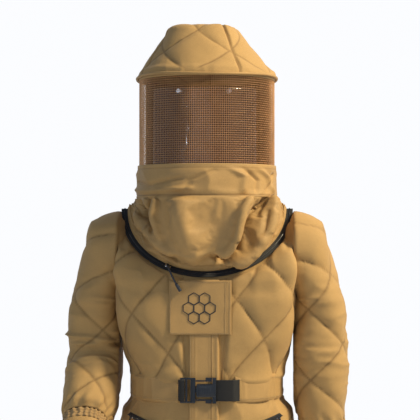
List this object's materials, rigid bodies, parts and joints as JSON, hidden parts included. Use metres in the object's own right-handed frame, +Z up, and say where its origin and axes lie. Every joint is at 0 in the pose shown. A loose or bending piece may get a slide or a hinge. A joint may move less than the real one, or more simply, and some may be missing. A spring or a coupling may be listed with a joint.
{
  "type": "beekeeping suit",
  "caption": "One-piece quilted protective overall with a zip-on hood, wire-mesh veil, clear visor, belted waist and elastic cuffs, worn as a sting-proof garment.",
  "frame": {"origin": "centre of the collar ring, between the tops of the two shoulders", "axes": "+Z up, -Y the front of the suit, +X the wearer's left"},
  "size_m": [0.62, 0.4039, 1.796],
  "materials": {
    "quilted_cotton": "diamond-quilted golden tan cotton over wadding",
    "plain_twill": "plain golden tan twill, lightly creased",
    "elastic": "gathered elastic band",
    "brass_wire_mesh": "woven coppery wire cloth",
    "clear_visor": "clear flexible sheet",
    "black_webbing": "woven black tape",
    "black_plastic": "satin moulded black",
    "zip_metal": "bright die-cast zip metal"
  },
  "bodies": {
    "suit": {"torso_shell": "quilted_cotton", "hip_shell": "quilted_cotton", "collar_zip_tape": "black_webbing", "collar_zip_coil": "black_plastic", "placket": "plain_twill", "front_zip_tape": "black_webbing", "front_zip_coil": "black_plastic", "chest_patch": "plain_twill", "belt_casing": "plain_twill", "webbing_left": "black_webbing", "buckle_female": "black_plastic", "pocket_panel_left": "quilted_cotton", "pocket_panel_right": "quilted_cotton", "pocket_zip_left": "black_webbing", "pocket_zip_right": "black_webbing", "seat_left": "quilted_cotton", "seat_right": "quilted_cotton"},
    "hood": {"hood_crown": "quilted_cotton", "crown_piping": "plain_twill", "mesh_veil": "brass_wire_mesh", "hood_back_panel": "quilted_cotton", "neck_band": "plain_twill", "neck_skirt": "plain_twill", "hood_zip_tape": "black_webbing", "clear_visor": "clear_visor", "visor_snap_left": "zip_metal", "visor_snap_right": "zip_metal"},
    "collar_slider": {"collar_slider": "zip_metal"},
    "collar_puller": {"collar_puller": "black_webbing"},
    "front_slider": {"front_zip_slider": "zip_metal"},
    "pocket_slider_left": {"pocket_slider_left": "zip_metal"},
    "pocket_slider_right": {"pocket_slider_right": "zip_metal"},
    "pocket_puller_left": {"pocket_puller_left": "black_plastic"},
    "pocket_puller_right": {"pocket_puller_right": "black_plastic"},
    "buckle_male": {"buckle_male": "black_plastic", "webbing_loop": "black_webbing"},
    "prong_upper": {"buckle_prong_upper": "black_plastic"},
    "prong_lower": {"buckle_prong_lower": "black_plastic"},
    "upper_arm_left": {"sleeve_head_left": "quilted_cotton", "upper_sleeve_left": "quilted_cotton", "elbow_fold_left": "quilted_cotton"},
    "forearm_left": {"forearm_sleeve_left": "quilted_cotton", "cuff_elastic_left": "elastic", "gauntlet_left": "plain_twill"},
    "thigh_left": {"thigh_left": "quilted_cotton", "knee_fold_left": "quilted_cotton"},
    "shin_left": {"shin_left": "quilted_cotton", "ankle_elastic_left": "elastic"},
    "upper_arm_right": {"sleeve_head_right": "quilted_cotton", "upper_sleeve_right": "quilted_cotton", "elbow_fold_right": "quilted_cotton"},
    "forearm_right": {"forearm_sleeve_right": "quilted_cotton", "cuff_elastic_right": "elastic", "gauntlet_right": "plain_twill"},
    "thigh_right": {"thigh_right": "quilted_cotton", "knee_fold_right": "quilted_cotton"},
    "shin_right": {"shin_right": "quilted_cotton", "ankle_elastic_right": "elastic"}
  },
  "joints": [
    {"name": "hood_tip", "type": "hinge", "parent": "suit", "child": "hood", "pos_m": [0, 0.1325, -0.028], "axis": [-1, 0, 0], "range_deg": [0, 80]},
    {"name": "collar_slider_run", "type": "hinge", "parent": "suit", "child": "collar_slider", "pos_m": [0, 0, 0], "axis": [0, 0.7705, -0.6374], "range_deg": [-62, 38]},
    {"name": "collar_puller_swing", "type": "hinge", "parent": "collar_slider", "child": "collar_puller", "pos_m": [-0.07821, -0.11329, -0.11812], "axis": [-0.9019, 0.2753, 0.3327], "range_deg": [0, 60]},
    {"name": "front_zip_run", "type": "slide", "parent": "suit", "child": "front_slider", "axis": [0, -0.0785, -0.9969], "range_m": [0, 0.39]},
    {"name": "pocket_zip_run_left", "type": "hinge", "parent": "suit", "child": "pocket_slider_left", "pos_m": [0.05014, 0.00154, -0.45326], "axis": [0.2328, 0.1229, -0.9647], "range_deg": [0, 28.77]},
    {"name": "pocket_puller_flip_left", "type": "hinge", "parent": "pocket_slider_left", "child": "pocket_puller_left", "pos_m": [0.15742, -0.10635, -0.44112], "axis": [-0.6721, -0.6966, -0.251], "range_deg": [0, 80]},
    {"name": "pocket_zip_run_right", "type": "hinge", "parent": "suit", "child": "pocket_slider_right", "pos_m": [-0.05014, 0.00154, -0.45326], "axis": [0.2328, -0.1229, 0.9647], "range_deg": [0, 28.77]},
    {"name": "pocket_puller_flip_right", "type": "hinge", "parent": "pocket_slider_right", "child": "pocket_puller_right", "pos_m": [-0.15742, -0.10635, -0.44112], "axis": [-0.6721, 0.6966, 0.251], "range_deg": [0, 80]},
    {"name": "buckle_release", "type": "slide", "parent": "suit", "child": "buckle_male", "axis": [-1, 0, 0], "range_m": [0, 0.04]},
    {"name": "prong_squeeze_upper", "type": "hinge", "parent": "buckle_male", "child": "prong_upper", "pos_m": [-0.0166, -0.154, -0.36], "axis": [0, 1, 0], "range_deg": [0, 6], "stiffness_Nm_per_rad": 0.5},
    {"name": "prong_squeeze_lower", "type": "hinge", "parent": "buckle_male", "child": "prong_lower", "pos_m": [-0.0166, -0.154, -0.4], "axis": [0, -1, 0], "range_deg": [0, 6], "stiffness_Nm_per_rad": 0.5},
    {"name": "shoulder_left", "type": "hinge", "parent": "suit", "child": "upper_arm_left", "pos_m": [0.19, 0, -0.097], "axis": [-1, 0, 0], "range_deg": [-30, 120]},
    {"name": "shoulder_right", "type": "hinge", "parent": "suit", "child": "upper_arm_right", "pos_m": [-0.19, 0, -0.097], "axis": [-1, 0, 0], "range_deg": [-30, 120]},
    {"name": "elbow_left", "type": "hinge", "parent": "upper_arm_left", "child": "forearm_left", "pos_m": [0.25, -0.03, -0.325], "axis": [-1, 0, 0], "range_deg": [0, 80], "deforming": ["elbow_fold_left"]},
    {"name": "elbow_right", "type": "hinge", "parent": "upper_arm_right", "child": "forearm_right", "pos_m": [-0.25, -0.03, -0.325], "axis": [-1, 0, 0], "range_deg": [-45, 35], "deforming": ["elbow_fold_right"]},
    {"name": "hip_left", "type": "hinge", "parent": "suit", "child": "thigh_left", "pos_m": [0.1035, -0.06, -0.65], "axis": [-1, 0, 0], "range_deg": [-15, 60], "deforming": ["seat_left"]},
    {"name": "hip_right", "type": "hinge", "parent": "suit", "child": "thigh_right", "pos_m": [-0.1035, -0.06, -0.65], "axis": [-1, 0, 0], "range_deg": [-15, 60], "deforming": ["seat_right"]},
    {"name": "knee_left", "type": "hinge", "parent": "thigh_left", "child": "shin_left", "pos_m": [0.119, 0.035, -0.96], "axis": [1, 0, 0], "range_deg": [0, 70], "deforming": ["knee_fold_left"]},
    {"name": "knee_right", "type": "hinge", "parent": "thigh_right", "child": "shin_right", "pos_m": [-0.119, 0.035, -0.96], "axis": [1, 0, 0], "range_deg": [0, 70], "deforming": ["knee_fold_right"]}
  ]
}
